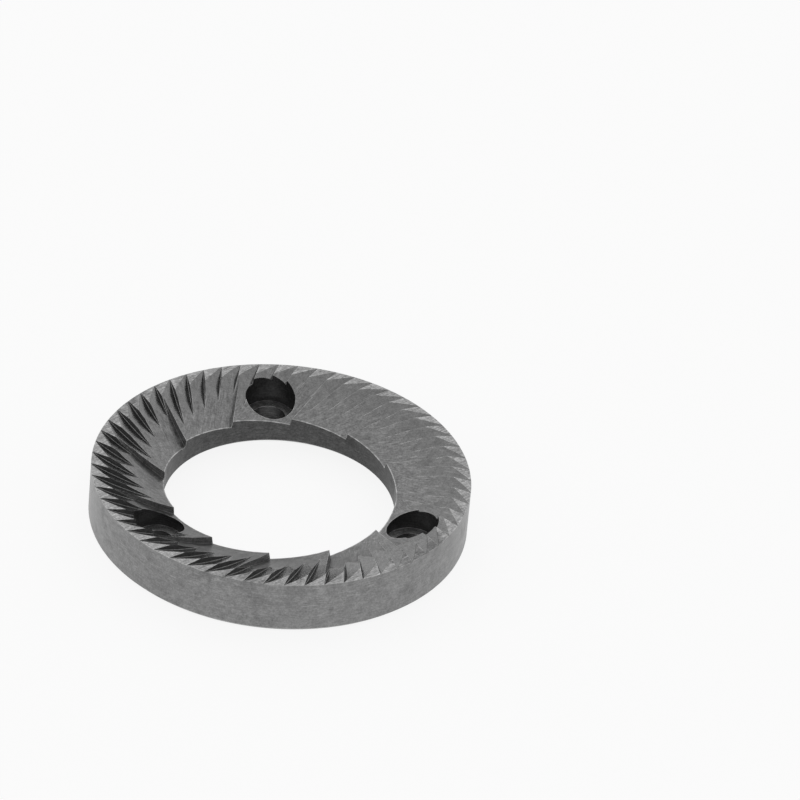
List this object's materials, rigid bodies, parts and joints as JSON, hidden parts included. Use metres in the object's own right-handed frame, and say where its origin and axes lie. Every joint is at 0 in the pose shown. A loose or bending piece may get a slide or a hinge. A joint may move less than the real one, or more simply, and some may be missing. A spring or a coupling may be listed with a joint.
{
  "type": "coffee grinder burr",
  "caption": "Flat steel grinding burr for a coffee grinder, with coarse inner steps, fine outer teeth and counterbored screw holes",
  "frame": {"origin": "centre of the back seating face, on the ring's axis", "axes": "+Z along the ring's axis out of the toothed face, +Y through one screw hole, +X completing a right-handed frame"},
  "size_m": [0.064, 0.064, 0.0095],
  "materials": {
    "burr_steel": "hardened tool steel, turned and ground, satin grey with faint stains and bright worn edges"
  },
  "bodies": {
    "root": {"grinding_burr": "burr_steel"}
  },
  "joints": []
}
